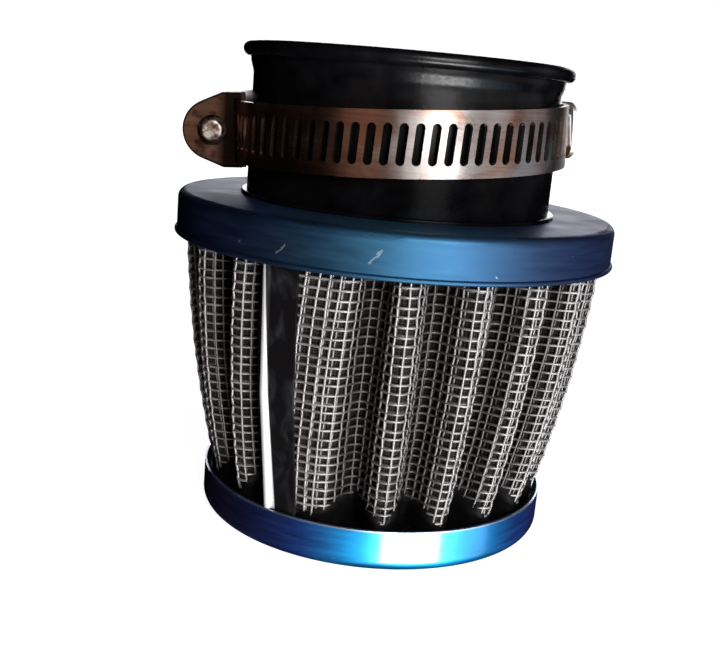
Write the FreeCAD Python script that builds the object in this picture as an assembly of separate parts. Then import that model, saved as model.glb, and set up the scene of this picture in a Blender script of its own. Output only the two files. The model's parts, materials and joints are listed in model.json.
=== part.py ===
import FreeCAD, Part
import math
import os

# Tapered pod air filter with a rubber neck and a worm-drive clamp, in millimetres.
# Origin: centre of the lower cap's flat underside. +Z runs up the filter to the neck's mouth.
# -Y is the front. Angles about Z are in degrees from +X, anticlockwise seen from above.

V = FreeCAD.Vector
UP = V(0, 0, 1)
SMALL = 0.01

# --- Driving dimensions: caps and neck -----------------------------------------------------
CAP_SHEET = 0.6
LOWER_CAP_R = 24.5
LOWER_CAP_HEIGHT = 5.6
LOWER_CAP_CORNER_R = 1.5
UPPER_CAP_R = 30.3
UPPER_CAP_TOP = 44.2
UPPER_CAP_HEIGHT = 5.7
UPPER_CAP_CORNER_R = 1.1
BEAD_R = 0.3                # rolled edge at the foot of the upper cap's wall

NECK_BORE_R = 17.5          # slips over a 35 mm spigot
NECK_TOP = 64.1
NECK_OUTER_R = 20.85
NECK_FLARE_R = 21.3         # just under the lip
NECK_FLARE_HEIGHT = 2.4
NECK_LIP_R = 22.35
NECK_LIP_HEIGHT = 1.9
NECK_MOUTH_ROUND = 0.5
NECK_COLLAR_R = 21.6
NECK_COLLAR_HEIGHT = 0.5
NECK_FLANGE_R = 27.0
NECK_FLANGE_HEIGHT = 1.6
UPPER_POTTING_HOLE_R = 18.0  # clear of the spigot

# --- Driving dimensions: pleated pack ------------------------------------------------------
PLEATS = 19
FIRST_CREST_ANGLE = -103.5  # crest to the right of the seam, seen from the front
SEAM_FLAT_ANGLE = 12.0      # extra width of that crest, where the sheet's ends overlap
SEAM_LEAN = 3.8             # the crests beside the seam lean this far each way from mid-height
PACK_BOTTOM = 4.4
PACK_TOP = 40.6
CREST_R_BOTTOM = 23.2
CREST_R_TOP = 28.8
CREST_BULGE = 1.0           # how far the crests swell past a straight cone at mid-height
CREST_WIDTH = 2.9
VALLEY_WIDTH_BOTTOM = 1.1
VALLEY_WIDTH_TOP = 2.2
PLEAT_DEPTH_BOTTOM = 4.6    # deeper than at the top, so that the sheet is equally long at both
PLEAT_DEPTH_TOP = 3.8
PACK_LEVELS = (0, 0.5, 1)   # shares of the pack's height at which the folds are drawn
WIRE_CLOTH = 0.4            # thickness of each woven wire layer
GAUZE = 0.4

CLIP_ANGLE = -117.0         # at mid-height
CLIP_LEAN = 1.2
CLIP_BOTTOM = 5.7           # clear of the lower cap's rim
CLIP_TOP = 38.4             # clear of the upper cap's foot
CLIP_WIDTH = 4.7
CLIP_PLATE = 0.4
CLIP_FOLD_R = 0.55
CLIP_FOLD_PROUD = 0.5       # how far the rounded fold stands out past the plate

# --- Driving dimensions: clamp -------------------------------------------------------------
# The clamp hangs slightly crooked and loose on the neck, so it has a tilted axis of its own.
CLAMP_CENTRE = V(0, 0, 54.0)
CLAMP_RISE_X = 0.068        # rise of the clamp's plane per millimetre along +X
CLAMP_RISE_Y = 0.031        # and along +Y
CLAMP_AXIS = V(-CLAMP_RISE_X, -CLAMP_RISE_Y, 1).normalize()
BAND_WIDTH = 8.0
BAND_SHEET = 0.6
BAND_INNER_R = 21.5
LAYER_GAP = 0.15
HOUSING_ANGLE = 180.0
BAND_START_END_ANGLE = 40.0     # far end of the fixed start, under the tail
BAND_START_FOOT_HALF_ANGLE = 12.0
STRIP_START_ANGLE = 390.0       # hidden end of the slotted strip, under the tail
STRIP_RAMP_LOW_ANGLE = 237.0
STRIP_RAMP_HIGH_ANGLE = 209.0
TAIL_SPRING_ANGLE = 60.0
TAIL_END_ANGLE = 13.0
TAIL_END_RISE = 2.3
TAIL_CORNER_R = 2.0
STRIP_END_MARGIN_ANGLE = 2.0    # plain metal past the last slot at each end of the strip
CURVE_STEPS = 8                 # points along the strip's ramp and tail curves
THREAD_LEAD = 2.0
SLOT_PITCH_ANGLE = 5.0
SLOT_WIDTH = 1.1
SLOT_HEIGHT = 5.0

WORM_CREST_R = 3.0
WORM_ROOT_R = 2.3
WORM_HALF_LENGTH = 4.3
THREAD_CREST_WIDTH = 0.45
THREAD_ROOT_WIDTH = 0.8
THREAD_ENGAGEMENT = 0.45
THREAD_BURIED = 0.2         # how far the ridge reaches into the worm's core
SCREW_TIP_R = 1.5
SCREW_TIP_PROUD = 0.6       # how far the tip shows past the housing
SCREW_TIP_ROUND = 0.4
SCREW_SHANK_R = 2.2
SCREW_HEAD_ACROSS_FLATS = 5.5
SCREW_HEAD_HEIGHT = 3.6
SCREW_HEAD_CROWN_R = 7.0
SCREW_FLANGE_R = 3.1
SCREW_FLANGE_HEIGHT = 0.9
SCREWDRIVER_SLOT_WIDTH = 0.9
SCREWDRIVER_SLOT_DEPTH = 1.5

HOUSING_SHEET = 0.8
HOUSING_HALF_LENGTH = 5.5
HOUSING_HALF_HEIGHT = 4.95
HOUSING_WORM_GAP = 0.25
HOUSING_STRIP_GAP = 0.2
HOUSING_TIP_HOLE_R = 2.0
HOUSING_EDGE_ROUND = 0.35
HOUSING_FACE_GAP = 0.15     # between the housing's rear face and the screw's flange
HOUSING_FLARE = 1.4         # how far before the worm's axis the side walls start to lean in
DOME_START = 0.35           # where the dome begins past that axis, as a share of its radius
SHANK_CLEARANCE = 0.05

# --- Worked out ----------------------------------------------------------------------------
LAYER_R = BAND_INNER_R + BAND_SHEET + LAYER_GAP     # inner face of the strip where it overlaps
LAYER_OUTER_R = LAYER_R + BAND_SHEET
WORM_AXIS_R = LAYER_OUTER_R - THREAD_ENGAGEMENT + WORM_CREST_R
THREAD_MEAN_R = WORM_CREST_R - THREAD_ENGAGEMENT / 2
CUTTER_DEPTH = 3 * BAND_SHEET       # reach of the tools that cut through the strip
SLOT_SLANT = math.degrees(math.atan2(THREAD_LEAD, 2 * math.pi * THREAD_MEAN_R))


def polar(radius, angle, z=0.0):
    """Point at a radius and an angle in degrees about Z."""
    a = math.radians(angle)
    return V(radius * math.cos(a), radius * math.sin(a), z)


def line(a, b):
    return Part.LineSegment(a, b).toShape()


def arc(a, middle, b):
    return Part.Arc(a, middle, b).toShape()


def revolve(edges):
    """Full turn about Z of a closed outline drawn in the XZ plane."""
    face = Part.Face(Part.Wire(edges))
    return face.revolve(V(0, 0, 0), UP, 360)


def polyline(points):
    closed = points + points[:1]
    return [line(a, b) for a, b in zip(closed, closed[1:])]


def corner_arc(centre_r, centre_z, radius, start, end):
    """Arc in the XZ plane between two angles in degrees, measured from +X towards +Z."""
    at = [math.radians(t) for t in (start, (start + end) / 2, end)]
    points = [V(centre_r + radius * math.cos(t), 0, centre_z + radius * math.sin(t)) for t in at]
    return arc(*points)


def s_curve(start_r, start_z, end_r, end_z):
    """Smooth step between two radii of an upright wall, in the XZ plane."""
    middle_z = (start_z + end_z) / 2
    curve = Part.BezierCurve()
    curve.setPoles([
        V(start_r, 0, start_z), V(start_r, 0, middle_z), V(end_r, 0, middle_z), V(end_r, 0, end_z)])
    return curve.toShape()


# --- Caps ----------------------------------------------------------------------------------

def lower_cap():
    """Pressed cup, open upwards, with a rounded lower edge."""
    outer = LOWER_CAP_R
    inner = outer - CAP_SHEET
    corner = LOWER_CAP_CORNER_R
    centre = outer - corner
    edges = [
        line(V(0, 0, 0), V(centre, 0, 0)),
        corner_arc(centre, corner, corner, -90, 0),
        line(V(outer, 0, corner), V(outer, 0, LOWER_CAP_HEIGHT)),
        line(V(outer, 0, LOWER_CAP_HEIGHT), V(inner, 0, LOWER_CAP_HEIGHT)),
        line(V(inner, 0, LOWER_CAP_HEIGHT), V(inner, 0, corner)),
        corner_arc(centre, corner, corner - CAP_SHEET, 0, -90),
        line(V(centre, 0, CAP_SHEET), V(0, 0, CAP_SHEET)),
        line(V(0, 0, CAP_SHEET), V(0, 0, 0)),
    ]
    return revolve(edges)


def upper_cap():
    """Pressed ring, open downwards, with a hole for the neck and a rolled edge at its foot."""
    outer = UPPER_CAP_R - BEAD_R
    inner = outer - CAP_SHEET
    top = UPPER_CAP_TOP
    bead_z = top - UPPER_CAP_HEIGHT + BEAD_R
    corner = UPPER_CAP_CORNER_R
    centre = outer - corner
    hole = NECK_OUTER_R
    edges = [
        line(V(hole, 0, top - CAP_SHEET), V(hole, 0, top)),
        line(V(hole, 0, top), V(centre, 0, top)),
        corner_arc(centre, top - corner, corner, 90, 0),
        line(V(outer, 0, top - corner), V(outer, 0, bead_z + BEAD_R)),
        corner_arc(outer, bead_z, BEAD_R, 90, -90),
        line(V(outer, 0, bead_z - BEAD_R), V(inner, 0, bead_z - BEAD_R)),
        line(V(inner, 0, bead_z - BEAD_R), V(inner, 0, top - corner)),
        corner_arc(centre, top - corner, corner - CAP_SHEET, 0, 90),
        line(V(centre, 0, top - CAP_SHEET), V(hole, 0, top - CAP_SHEET)),
    ]
    return revolve(edges)


def lower_potting():
    """Cast disc that bonds the pack's foot into the lower cap."""
    outer = LOWER_CAP_R - CAP_SHEET
    corner = LOWER_CAP_CORNER_R
    centre = LOWER_CAP_R - corner
    edges = [
        line(V(0, 0, CAP_SHEET), V(centre, 0, CAP_SHEET)),
        corner_arc(centre, corner, corner - CAP_SHEET, -90, 0),
        line(V(outer, 0, corner), V(outer, 0, PACK_BOTTOM)),
        line(V(outer, 0, PACK_BOTTOM), V(0, 0, PACK_BOTTOM)),
        line(V(0, 0, PACK_BOTTOM), V(0, 0, CAP_SHEET)),
    ]
    return revolve(edges)


def upper_potting():
    """Cast ring that bonds the pack's head and the neck's flange into the upper cap."""
    outer = UPPER_CAP_R - BEAD_R - CAP_SHEET
    corner = UPPER_CAP_CORNER_R
    centre = UPPER_CAP_R - BEAD_R - corner
    ceiling = UPPER_CAP_TOP - CAP_SHEET
    flange_foot = ceiling - NECK_FLANGE_HEIGHT
    hole = UPPER_POTTING_HOLE_R
    edges = [
        line(V(hole, 0, PACK_TOP), V(outer, 0, PACK_TOP)),
        line(V(outer, 0, PACK_TOP), V(outer, 0, UPPER_CAP_TOP - corner)),
        corner_arc(centre, UPPER_CAP_TOP - corner, corner - CAP_SHEET, 0, 90),
        line(V(centre, 0, ceiling), V(NECK_FLANGE_R, 0, ceiling)),
        line(V(NECK_FLANGE_R, 0, ceiling), V(NECK_FLANGE_R, 0, flange_foot)),
        line(V(NECK_FLANGE_R, 0, flange_foot), V(hole, 0, flange_foot)),
        line(V(hole, 0, flange_foot), V(hole, 0, PACK_TOP)),
    ]
    return revolve(edges)


def neck():
    """Rubber stub with a rounded lip, a low collar on the cap and a flange under it."""
    ceiling = UPPER_CAP_TOP - CAP_SHEET
    foot = ceiling - NECK_FLANGE_HEIGHT
    collar_top = UPPER_CAP_TOP + NECK_COLLAR_HEIGHT
    collar_round = NECK_COLLAR_HEIGHT / 2
    lip_round = NECK_LIP_HEIGHT / 2
    lip_middle = NECK_TOP - lip_round
    lip_foot = NECK_TOP - NECK_LIP_HEIGHT
    flare_start = lip_foot - NECK_FLARE_HEIGHT
    mouth = NECK_MOUTH_ROUND
    edges = [
        line(V(NECK_BORE_R, 0, foot), V(NECK_FLANGE_R, 0, foot)),
        line(V(NECK_FLANGE_R, 0, foot), V(NECK_FLANGE_R, 0, ceiling)),
        line(V(NECK_FLANGE_R, 0, ceiling), V(NECK_OUTER_R, 0, ceiling)),
        line(V(NECK_OUTER_R, 0, ceiling), V(NECK_OUTER_R, 0, UPPER_CAP_TOP)),
        line(V(NECK_OUTER_R, 0, UPPER_CAP_TOP), V(NECK_COLLAR_R, 0, UPPER_CAP_TOP)),
        line(V(NECK_COLLAR_R, 0, UPPER_CAP_TOP), V(NECK_COLLAR_R, 0, collar_top - collar_round)),
        corner_arc(NECK_COLLAR_R - collar_round, collar_top - collar_round, collar_round, 0, 90),
        line(V(NECK_COLLAR_R - collar_round, 0, collar_top), V(NECK_OUTER_R, 0, collar_top)),
        line(V(NECK_OUTER_R, 0, collar_top), V(NECK_OUTER_R, 0, flare_start)),
        s_curve(NECK_OUTER_R, flare_start, NECK_FLARE_R, lip_foot),
        line(V(NECK_FLARE_R, 0, lip_foot), V(NECK_LIP_R - lip_round, 0, lip_foot)),
        corner_arc(NECK_LIP_R - lip_round, lip_middle, lip_round, -90, 90),
        line(V(NECK_LIP_R - lip_round, 0, NECK_TOP), V(NECK_BORE_R + mouth, 0, NECK_TOP)),
        corner_arc(NECK_BORE_R + mouth, NECK_TOP - mouth, mouth, 90, 180),
        line(V(NECK_BORE_R, 0, NECK_TOP - mouth), V(NECK_BORE_R, 0, foot)),
    ]
    return revolve(edges)


# --- Pleated pack --------------------------------------------------------------------------

def between(low, high, share):
    return low + (high - low) * share


def pack_height(share):
    return between(PACK_BOTTOM, PACK_TOP, share)


def crest_radius(share):
    return between(CREST_R_BOTTOM, CREST_R_TOP, share) + CREST_BULGE * 4 * share * (1 - share)


def crest_angles(share):
    """Middle of each crest at a share of the pack's height, from the seam's crest anticlockwise."""
    pitch = (360 - SEAM_FLAT_ANGLE) / PLEATS
    angles = [FIRST_CREST_ANGLE + pleat * pitch for pleat in range(PLEATS)]
    for beside_seam in (-2, -1, 0):
        angles[beside_seam] += SEAM_LEAN * (2 * share - 1)
    return angles


def pleat_outline(share):
    """Outer face of the folded sheet at a share of its height: two points per crest and valley."""
    crest_r = crest_radius(share)
    valley_r = crest_r - between(PLEAT_DEPTH_BOTTOM, PLEAT_DEPTH_TOP, share)
    half_crest = math.degrees(CREST_WIDTH / 2 / crest_r)
    half_valley = math.degrees(between(VALLEY_WIDTH_BOTTOM, VALLEY_WIDTH_TOP, share) / 2 / valley_r)
    z = pack_height(share)
    crests = crest_angles(share)
    next_crests = crests[1:] + [crests[0] - SEAM_FLAT_ANGLE + 360]
    points = []
    for pleat, (crest, next_crest) in enumerate(zip(crests, next_crests)):
        if pleat == 0:
            points.append(polar(crest_r, crest - half_crest - SEAM_FLAT_ANGLE, z))
            points.append(polar(crest_r, crest - half_crest - SEAM_FLAT_ANGLE / 2, z))
        else:
            points.append(polar(crest_r, crest - half_crest, z))
        points.append(polar(crest_r, crest + half_crest, z))
        valley = (crest + next_crest) / 2
        points.append(polar(valley_r, valley - half_valley, z))
        points.append(polar(valley_r, valley + half_valley, z))
    return points


def inset(points, distance):
    """Closed outline moved inwards by a distance, with sharp corners."""
    moved = []
    count = len(points)
    for i, point in enumerate(points):
        before = (point - points[i - 1]).normalize()
        after = (points[(i + 1) % count] - point).normalize()
        normal_before = V(-before.y, before.x, 0)
        normal_after = V(-after.y, after.x, 0)
        middle = (normal_before + normal_after).normalize()
        moved.append(point + middle * (distance / middle.dot(normal_after)))
    return moved


def pleated_layer(depth_in, thickness):
    """Closed shell of one layer of the pack, its outer face a distance inside the pack's face."""
    outlines = [pleat_outline(share) for share in PACK_LEVELS]
    faces = []
    rims = {0: [], len(outlines) - 1: []}
    for distance in (depth_in, depth_in + thickness):
        levels = [polyline(inset(outline, distance)) for outline in outlines]
        for low, high in zip(levels, levels[1:]):
            faces += [Part.makeRuledSurface(a, b) for a, b in zip(low, high)]
        for level, rim in rims.items():
            rim.append(Part.Wire(levels[level]))
    faces += [Part.makeFace(rim, "Part::FaceMakerBullseye") for rim in rims.values()]
    shell = Part.makeShell(faces)
    shell.sewShape()
    solid = Part.makeSolid(shell)
    if solid.Volume < 0:
        solid.reverse()
    return solid


def outer_wire_cloth():
    return pleated_layer(0, WIRE_CLOTH)


def backing_wire_cloth():
    return pleated_layer(WIRE_CLOTH, WIRE_CLOTH)


def gauze():
    return pleated_layer(2 * WIRE_CLOTH, GAUZE)


def inner_wire_cloth():
    return pleated_layer(2 * WIRE_CLOTH + GAUZE, WIRE_CLOTH)


def seam_clip():
    """Folded metal strip over the sheet's overlapped ends, with a rounded fold down one side."""
    right = CLIP_WIDTH / 2
    radius = CLIP_FOLD_R
    fold = radius - right
    fold_centre = CLIP_PLATE + CLIP_FOLD_PROUD - radius
    fold_start = fold + math.sqrt(radius ** 2 - (CLIP_PLATE - fold_centre) ** 2)
    far_side = radius * math.sqrt(0.5)
    hook = fold + radius / 2
    low, high = [(z - PACK_BOTTOM) / (PACK_TOP - PACK_BOTTOM) for z in (CLIP_BOTTOM, CLIP_TOP)]
    wires = []
    for share in (low, (low + high) / 2, high):
        out = polar(1, CLIP_ANGLE + CLIP_LEAN * (2 * share - 1))
        along = V(-out.y, out.x, 0)

        def at(side, height):
            return out * (crest_radius(share) + height) + along * side + V(0, 0, pack_height(share))
        wires.append(Part.Wire([
            line(at(right, 0), at(right, CLIP_PLATE)),
            line(at(right, CLIP_PLATE), at(fold_start, CLIP_PLATE)),
            arc(at(fold_start, CLIP_PLATE), at(fold - far_side, fold_centre + far_side),
                at(fold, fold_centre - radius)),
            line(at(fold, fold_centre - radius), at(hook, fold_centre - radius)),
            line(at(hook, fold_centre - radius), at(hook, 0)),
            line(at(hook, 0), at(right, 0)),
        ]))
    return Part.makeLoft(wires, True, True)


# --- Clamp, built about the Z axis and then put on its own tilted axis ----------------------

def on_clamp_axis(shape):
    placed = shape.copy()
    placed.Placement = FreeCAD.Placement(CLAMP_CENTRE, FreeCAD.Rotation(UP, CLAMP_AXIS))
    return placed


def band_sector(inner_r, half_width, start, end):
    """Part of a ring, one sheet thick, between two angles."""
    outline = [
        V(inner_r, 0, -half_width),
        V(inner_r + BAND_SHEET, 0, -half_width),
        V(inner_r + BAND_SHEET, 0, half_width),
        V(inner_r, 0, half_width),
    ]
    face = Part.Face(Part.Wire(polyline(outline)))
    sector = face.revolve(V(0, 0, 0), UP, end - start)
    sector.rotate(V(0, 0, 0), UP, start)
    return sector


def band_start():
    """Fixed start of the band, with a wider foot that the housing stands on."""
    foot_start = HOUSING_ANGLE - BAND_START_FOOT_HALF_ANGLE
    foot_end = HOUSING_ANGLE + BAND_START_FOOT_HALF_ANGLE
    strip = band_sector(BAND_INNER_R, BAND_WIDTH / 2, BAND_START_END_ANGLE, foot_end)
    foot = band_sector(BAND_INNER_R, HOUSING_HALF_HEIGHT, foot_start, foot_end)
    return on_clamp_axis(strip.fuse(foot).removeSplitter())


def strip_height(angle):
    """Inner radius of the slotted strip at an angle: low, up the ramp, and out at the tail."""
    if angle >= STRIP_RAMP_LOW_ANGLE:
        return BAND_INNER_R
    if angle >= STRIP_RAMP_HIGH_ANGLE:
        part = (STRIP_RAMP_LOW_ANGLE - angle) / (STRIP_RAMP_LOW_ANGLE - STRIP_RAMP_HIGH_ANGLE)
        return BAND_INNER_R + (LAYER_R - BAND_INNER_R) * part * part * (3 - 2 * part)
    if angle >= TAIL_SPRING_ANGLE:
        return LAYER_R
    part = (TAIL_SPRING_ANGLE - angle) / (TAIL_SPRING_ANGLE - TAIL_END_ANGLE)
    return LAYER_R + TAIL_END_RISE * part * part


def strip_face_edges(outward):
    """Edges along one face of the strip, from the tail's end to the strip's hidden start."""
    stations = [TAIL_END_ANGLE, TAIL_SPRING_ANGLE, STRIP_RAMP_HIGH_ANGLE, STRIP_RAMP_LOW_ANGLE,
                STRIP_START_ANGLE]
    edges = []
    for index, (start, end) in enumerate(zip(stations, stations[1:])):
        is_round = index in (1, 3)
        steps = 2 if is_round else CURVE_STEPS
        angles = [start + (end - start) * i / steps for i in range(steps + 1)]
        points = [polar(strip_height(a) + outward, a) for a in angles]
        if is_round:
            edges.append(arc(*points))
        else:
            curve = Part.BSplineCurve()
            curve.interpolate(points)
            edges.append(curve.toShape())
    return edges


def slot_cutter(angle):
    """Slanted round-ended slot through the strip at an angle."""
    radius = SLOT_WIDTH / 2
    reach = SLOT_HEIGHT / 2 - radius
    outline = [
        line(V(0, -radius, -reach), V(0, -radius, reach)),
        arc(V(0, -radius, reach), V(0, 0, reach + radius), V(0, radius, reach)),
        line(V(0, radius, reach), V(0, radius, -reach)),
        arc(V(0, radius, -reach), V(0, 0, -reach - radius), V(0, -radius, -reach)),
    ]
    cutter = Part.Face(Part.Wire(outline)).extrude(V(CUTTER_DEPTH, 0, 0))
    cutter.rotate(V(0, 0, 0), V(1, 0, 0), -SLOT_SLANT)
    cutter.translate(V(strip_height(angle) - BAND_SHEET, 0, 0))
    cutter.rotate(V(0, 0, 0), UP, angle)
    return cutter


def slotted_strip():
    """Moving strip: round the front, up over the fixed start, through the housing to the tail."""
    inner = strip_face_edges(0)
    outer = strip_face_edges(BAND_SHEET)
    ends = [
        line(polar(strip_height(a), a), polar(strip_height(a) + BAND_SHEET, a))
        for a in (TAIL_END_ANGLE, STRIP_START_ANGLE)
    ]
    wire = Part.Wire(Part.__sortEdges__(inner + outer + ends))
    body = Part.Face(wire).extrude(V(0, 0, BAND_WIDTH))
    body.translate(V(0, 0, -BAND_WIDTH / 2))
    body = body.cut(tail_corner_cutters())
    margin = STRIP_END_MARGIN_ANGLE
    first = math.ceil((TAIL_END_ANGLE + margin - HOUSING_ANGLE) / SLOT_PITCH_ANGLE)
    last = math.floor((STRIP_START_ANGLE - margin - HOUSING_ANGLE) / SLOT_PITCH_ANGLE)
    slots = [slot_cutter(HOUSING_ANGLE + i * SLOT_PITCH_ANGLE) for i in range(first, last + 1)]
    return on_clamp_axis(body.cut(slots))


def tail_corner_cutters():
    """Pieces that round off the two corners of the tail's end."""
    reach = BAND_WIDTH / 2
    round_r = TAIL_CORNER_R
    pieces = []
    for side in (-1, 1):
        corner = V(0, 0, side * reach)
        along = V(0, round_r, side * reach)
        inward = V(0, 0, side * (reach - round_r))
        middle = V(0, round_r * (1 - math.sqrt(0.5)), side * (reach - round_r * (1 - math.sqrt(0.5))))
        wire = Part.Wire([line(corner, along), arc(along, middle, inward), line(inward, corner)])
        piece = Part.Face(wire).extrude(V(CUTTER_DEPTH, 0, 0))
        end_r = strip_height(TAIL_END_ANGLE)
        piece.translate(V(end_r - BAND_SHEET, 0, 0))
        piece.rotate(V(0, 0, 0), UP, TAIL_END_ANGLE)
        pieces.append(piece)
    return pieces


def arch(side, radius, half_length):
    """Solid of the housing's domed section, between its two ends along Y."""
    lean = WORM_AXIS_R - HOUSING_FLARE
    shoulder = radius * DOME_START
    rise = math.sqrt(radius * radius - shoulder * shoulder)
    base = BAND_INNER_R - BAND_SHEET
    start = -half_length
    edges = [
        line(V(-base, start, side), V(-base, start, -side)),
        line(V(-base, start, -side), V(-lean, start, -side)),
        line(V(-lean, start, -side), V(-WORM_AXIS_R - shoulder, start, -rise)),
        arc(V(-WORM_AXIS_R - shoulder, start, -rise), V(-WORM_AXIS_R - radius, start, 0),
            V(-WORM_AXIS_R - shoulder, start, rise)),
        line(V(-WORM_AXIS_R - shoulder, start, rise), V(-lean, start, side)),
        line(V(-lean, start, side), V(-base, start, side)),
    ]
    return Part.Face(Part.Wire(edges)).extrude(V(0, 2 * half_length, 0))


def disc(radius, half_height):
    return Part.makeCylinder(radius, 2 * half_height, V(0, 0, -half_height))


def along_screw(radius, start, end):
    """Round bar on the screw's axis between two places along Y."""
    return Part.makeCylinder(radius, end - start, V(-WORM_AXIS_R, start, 0), V(0, 1, 0))


def clamp_housing():
    """Stamped arch over the worm, with an end wall at each end."""
    cavity_r = WORM_CREST_R + HOUSING_WORM_GAP
    cavity_side = HOUSING_HALF_HEIGHT - HOUSING_SHEET
    outside = arch(HOUSING_HALF_HEIGHT, cavity_r + HOUSING_SHEET, HOUSING_HALF_LENGTH)
    outside = outside.makeFillet(HOUSING_EDGE_ROUND, outer_end_edges(outside))
    cavity = arch(cavity_side, cavity_r, HOUSING_HALF_LENGTH - HOUSING_SHEET)
    foot = disc(BAND_INNER_R + BAND_SHEET, 2 * HOUSING_HALF_HEIGHT)
    passage = disc(LAYER_OUTER_R + HOUSING_STRIP_GAP, cavity_side)
    tip_hole = along_screw(HOUSING_TIP_HOLE_R, -2 * HOUSING_HALF_LENGTH, 0)
    shank_hole = along_screw(SCREW_SHANK_R + SHANK_CLEARANCE, 0, 2 * HOUSING_HALF_LENGTH)
    return on_clamp_axis(outside.cut([cavity, foot, passage, tip_hole, shank_hole]))


def outer_end_edges(solid):
    """Edges round the two ends of the arch, apart from those at its open foot."""
    foot_x = -BAND_INNER_R
    chosen = []
    for edge in solid.Edges:
        box = edge.BoundBox
        lies_across = box.YLength < SMALL
        is_above_foot = box.XMin < foot_x - HOUSING_SHEET
        if lies_across and is_above_foot:
            chosen.append(edge)
    return chosen


def screw_thread():
    """Right-handed ridge round the worm, with one crest in line with the slot under its middle."""
    half = WORM_HALF_LENGTH - THREAD_ROOT_WIDTH
    length = 2 * half
    helix = Part.makeLongHelix(THREAD_LEAD, length, WORM_ROOT_R, 0, False)
    buried = WORM_ROOT_R - THREAD_BURIED
    outline = [
        V(buried, 0, -THREAD_ROOT_WIDTH / 2),
        V(WORM_CREST_R, 0, -THREAD_CREST_WIDTH / 2),
        V(WORM_CREST_R, 0, THREAD_CREST_WIDTH / 2),
        V(buried, 0, THREAD_ROOT_WIDTH / 2),
    ]
    ridge = helix.makePipeShell([Part.Wire(polyline(outline))], True, True)
    # The ridge starts at the angle that brings it to the band's side at the worm's middle.
    start_angle = -360 * half / THREAD_LEAD
    ridge.rotate(V(0, 0, 0), UP, start_angle)
    ridge.translate(V(0, 0, -half))
    return ridge


def clamp_screw():
    """Worm screw: journal tip, threaded worm, shank, flange and slotted hexagon head."""
    ridge = screw_thread()
    # Lay the worm's axis along -Y with the side that faced +X still facing +X, to the band.
    ridge.rotate(V(0, 0, 0), V(1, 0, 0), 90)
    ridge.translate(V(-WORM_AXIS_R, 0, 0))
    rear = HOUSING_HALF_LENGTH
    flange_start = rear + HOUSING_FACE_GAP
    head_start = flange_start + SCREW_FLANGE_HEIGHT
    tip_y = -rear - SCREW_TIP_PROUD
    bar = along_screw(SCREW_TIP_R, tip_y, -WORM_HALF_LENGTH)
    tip_edge = [e for e in bar.Edges if abs(e.CenterOfMass.y - tip_y) < SMALL]
    bar = bar.makeFillet(SCREW_TIP_ROUND, tip_edge)
    worm = along_screw(WORM_ROOT_R, -WORM_HALF_LENGTH, WORM_HALF_LENGTH)
    shank = along_screw(SCREW_SHANK_R, WORM_HALF_LENGTH, flange_start)
    flange = along_screw(SCREW_FLANGE_R, flange_start, head_start)
    head = hexagon_head(head_start)
    return on_clamp_axis(worm.fuse([ridge, bar, shank, flange, head]))


def hexagon_head(start):
    """Hexagon with a rounded crown and a screwdriver slot."""
    corner = SCREW_HEAD_ACROSS_FLATS / math.sqrt(3)
    points = []
    for i in range(6):
        a = math.radians(60 * i + 30)
        points.append(V(-WORM_AXIS_R + corner * math.cos(a), start, corner * math.sin(a)))
    prism = Part.Face(Part.Wire(polyline(points))).extrude(V(0, SCREW_HEAD_HEIGHT, 0))
    crown_y = start + SCREW_HEAD_HEIGHT - SCREW_HEAD_CROWN_R
    crown = Part.makeSphere(SCREW_HEAD_CROWN_R, V(-WORM_AXIS_R, crown_y, 0))
    head = prism.common(crown)
    width = SCREWDRIVER_SLOT_WIDTH
    slot = Part.makeBox(
        4 * corner, SCREWDRIVER_SLOT_DEPTH, width,
        V(-WORM_AXIS_R - 2 * corner, start + SCREW_HEAD_HEIGHT - SCREWDRIVER_SLOT_DEPTH, -width / 2))
    return head.cut(slot)


PIECES = {
    "lower_cap": lower_cap,
    "lower_potting": lower_potting,
    "upper_cap": upper_cap,
    "upper_potting": upper_potting,
    "rubber_neck": neck,
    "outer_wire_cloth": outer_wire_cloth,
    "backing_wire_cloth": backing_wire_cloth,
    "gauze": gauze,
    "inner_wire_cloth": inner_wire_cloth,
    "seam_clip": seam_clip,
    "clamp_housing": clamp_housing,
    "clamp_band_start": band_start,
    "clamp_strip": slotted_strip,
    "clamp_screw": clamp_screw,
}

os.makedirs("parts", exist_ok=True)
for name, make in PIECES.items():
    shape = make()
    shape.exportStep(f"parts/{name}.step")
    print(name, len(shape.Solids), "valid" if shape.isValid() else "NOT VALID", round(shape.Volume, 1))
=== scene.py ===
import json
import math

import bpy
import numpy as np
from mathutils import Matrix, Vector


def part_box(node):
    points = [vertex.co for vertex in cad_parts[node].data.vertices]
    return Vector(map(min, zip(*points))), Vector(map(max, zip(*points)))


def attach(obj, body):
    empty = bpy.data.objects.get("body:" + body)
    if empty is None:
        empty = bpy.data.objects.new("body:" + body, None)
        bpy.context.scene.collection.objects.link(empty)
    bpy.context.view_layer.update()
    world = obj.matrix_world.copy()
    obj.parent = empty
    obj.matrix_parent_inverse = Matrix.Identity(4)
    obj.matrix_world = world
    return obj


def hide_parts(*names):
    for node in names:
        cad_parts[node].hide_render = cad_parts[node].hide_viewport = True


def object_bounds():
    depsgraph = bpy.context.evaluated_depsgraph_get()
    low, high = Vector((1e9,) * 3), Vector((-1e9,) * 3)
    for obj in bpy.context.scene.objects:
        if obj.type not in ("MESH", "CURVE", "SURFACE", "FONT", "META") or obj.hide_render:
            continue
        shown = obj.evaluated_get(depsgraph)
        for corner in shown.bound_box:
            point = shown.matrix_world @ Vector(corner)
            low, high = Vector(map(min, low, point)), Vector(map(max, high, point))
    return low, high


# Looks of a tapered pod air filter. Lengths here are in millimetres until MM turns them into
# metres. -Y is the front, and angles about Z run anticlockwise from +X.

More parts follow.
